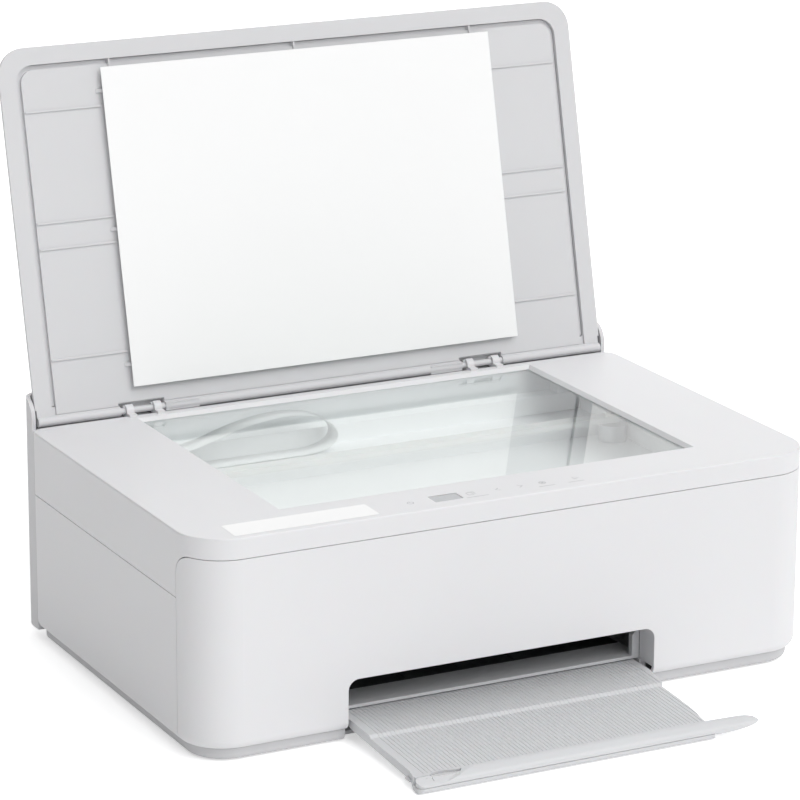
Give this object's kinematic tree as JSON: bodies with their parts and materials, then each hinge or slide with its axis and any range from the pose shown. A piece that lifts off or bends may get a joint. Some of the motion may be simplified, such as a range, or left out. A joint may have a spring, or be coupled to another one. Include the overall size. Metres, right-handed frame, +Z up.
{
  "type": "inkjet printer with flatbed scanner",
  "caption": "Home inkjet printer and flatbed scanner with an open lid, a front door, a sliding output tray with a swinging extender, a rear paper feed and a working print and scan engine.",
  "frame": {"origin": "middle of the footprint of the whole object, on the table", "axes": "+X to the right seen from the front, +Y from the front door towards the rear, +Z up"},
  "size_m": [0.45, 0.4394, 0.395],
  "materials": {
    "white_shell": "fine satin, near-white",
    "light_grey": "fine matt texture, light grey",
    "rubber": "matt",
    "glass": "clear",
    "pad_white": "smooth white film",
    "foam": "soft foam",
    "dark_plastic": "moulded",
    "sheet_steel": "zinc plated",
    "gear_plastic": "acetal",
    "brass": "turned",
    "circuit": "coated board"
  },
  "bodies": {
    "housing": {"base_pan": "light_grey", "rubber_feet": "rubber", "lower_housing": "white_shell", "scanner_cover": "white_shell", "scanner_tub": "dark_plastic", "platen_glass": "glass", "display_window": "dark_plastic", "control_board": "circuit", "rear_cover": "light_grey", "paper_hopper": "light_grey", "paper_chute": "light_grey", "exit_frame": "light_grey", "exit_guide": "dark_plastic", "chassis": "sheet_steel", "frame_screws": "sheet_steel", "slide_rod": "sheet_steel", "carriage_belt": "rubber", "carriage_motor": "sheet_steel", "encoder_strip": "glass", "feed_motor": "sheet_steel", "pinch_holder": "dark_plastic", "star_bar": "sheet_steel", "platen": "dark_plastic", "service_station": "dark_plastic", "ink_absorber": "foam", "pickup_arm": "sheet_steel", "main_board": "circuit", "power_supply": "dark_plastic", "power_inlet": "dark_plastic", "usb_port": "sheet_steel", "scan_belt": "rubber", "scan_motor": "sheet_steel"},
    "door": {"front_door": "white_shell"},
    "lid": {"lid_cover": "light_grey", "lid_liner": "light_grey", "pad_foam": "foam", "pad_sheet": "pad_white"},
    "tray": {"output_tray": "light_grey"},
    "extender": {"tray_extender": "light_grey"},
    "print_carriage": {"carriage": "dark_plastic", "black_cartridge": "dark_plastic", "colour_cartridge": "dark_plastic"},
    "feed_shaft": {"feed_roller": "rubber", "feed_gear": "gear_plastic"},
    "exit_shaft": {"exit_roller": "rubber", "exit_gear": "gear_plastic"},
    "idler": {"idler_gear": "gear_plastic"},
    "pinion": {"motor_pinion": "brass"},
    "pinch": {"pinch_rollers": "rubber"},
    "stars": {"star_wheels": "sheet_steel"},
    "pickup": {"pickup_roller": "rubber"},
    "support": {"paper_support": "light_grey"},
    "guide": {"width_guide": "light_grey"},
    "drive": {"drive_pulley": "gear_plastic"},
    "free_pulley": {"idler_pulley": "gear_plastic"},
    "scan_bar": {"scan_head": "dark_plastic", "scan_cable": "pad_white"},
    "scan_drive": {"scan_pulley": "gear_plastic"}
  },
  "joints": [
    {"name": "lid_hinge", "type": "hinge", "parent": "housing", "child": "lid", "pos_m": [0, 0.15425, 0.1507], "axis": [1, 0, 0], "range_deg": [0, 103.2]},
    {"name": "door_hinge", "type": "hinge", "parent": "housing", "child": "door", "pos_m": [0, -0.11665, 0.0152], "axis": [1, 0, 0], "range_deg": [0, 75]},
    {"name": "tray_slide", "type": "slide", "parent": "housing", "child": "tray", "axis": [0, 1, 0], "range_m": [0, 0.078]},
    {"name": "extender_swing", "type": "hinge", "parent": "tray", "child": "extender", "pos_m": [-0.1166, -0.21505, 0.003], "axis": [0, 0, -1], "range_deg": [0, 90]},
    {"name": "carriage_slide", "type": "slide", "parent": "housing", "child": "print_carriage", "axis": [-1, 0, 0], "range_m": [0, 0.25]},
    {"name": "feed_turn", "type": "hinge", "parent": "housing", "child": "feed_shaft", "pos_m": [0, 0.03735, 0.038], "axis": [1, 0, 0], "continuous": true},
    {"name": "exit_turn", "type": "hinge", "parent": "housing", "child": "exit_shaft", "pos_m": [0, -0.01765, 0.034], "axis": [1, 0, 0], "continuous": true},
    {"name": "idler_turn", "type": "hinge", "parent": "housing", "child": "idler", "pos_m": [-0.207, 0.0105, 0.02704], "axis": [1, 0, 0], "continuous": true},
    {"name": "pinion_turn", "type": "hinge", "parent": "housing", "child": "pinion", "pos_m": [-0.207, 0.02585, 0.05792], "axis": [1, 0, 0], "continuous": true},
    {"name": "pinch_turn", "type": "hinge", "parent": "housing", "child": "pinch", "pos_m": [-0.0095, 0.03735, 0.0473], "axis": [1, 0, 0], "continuous": true},
    {"name": "star_turn", "type": "hinge", "parent": "housing", "child": "stars", "pos_m": [-0.0095, -0.01765, 0.0433], "axis": [1, 0, 0], "continuous": true},
    {"name": "pickup_turn", "type": "hinge", "parent": "housing", "child": "pickup", "pos_m": [-0.0095, 0.13197, 0.07313], "axis": [1, 0, 0], "continuous": true},
    {"name": "support_hinge", "type": "hinge", "parent": "housing", "child": "support", "pos_m": [-0.0095, 0.20485, 0.153], "axis": [1, 0, 0], "range_deg": [0, 150]},
    {"name": "guide_slide", "type": "slide", "parent": "housing", "child": "guide", "axis": [1, 0, 0], "range_m": [0, 0.08]},
    {"name": "drive_turn", "type": "hinge", "parent": "housing", "child": "drive", "pos_m": [0.195, 0.04935, 0.075], "axis": [0, 1, 0], "continuous": true},
    {"name": "free_turn", "type": "hinge", "parent": "housing", "child": "free_pulley", "pos_m": [-0.195, 0.04935, 0.075], "axis": [0, 1, 0], "continuous": true},
    {"name": "scan_slide", "type": "slide", "parent": "housing", "child": "scan_bar", "axis": [1, 0, 0], "range_m": [0, 0.318], "deforming": ["scan_cable"]},
    {"name": "scan_turn", "type": "hinge", "parent": "housing", "child": "scan_drive", "pos_m": [0.1795, 0.06735, 0.1214], "axis": [0, 0, 1], "continuous": true}
  ],
  "couplings": [
    {"joint": "exit_turn", "follows": "feed_turn", "ratio": 1},
    {"joint": "idler_turn", "follows": "feed_turn", "ratio": -1.2308},
    {"joint": "pinion_turn", "follows": "feed_turn", "ratio": -2.2857},
    {"joint": "pinch_turn", "follows": "feed_turn", "ratio": -1.25},
    {"joint": "star_turn", "follows": "feed_turn", "ratio": -1.25},
    {"joint": "drive_turn", "follows": "carriage_slide", "rad_per_m": 156.25},
    {"joint": "free_turn", "follows": "carriage_slide", "rad_per_m": 156.25},
    {"joint": "scan_turn", "follows": "scan_slide", "rad_per_m": 185.19}
  ]
}
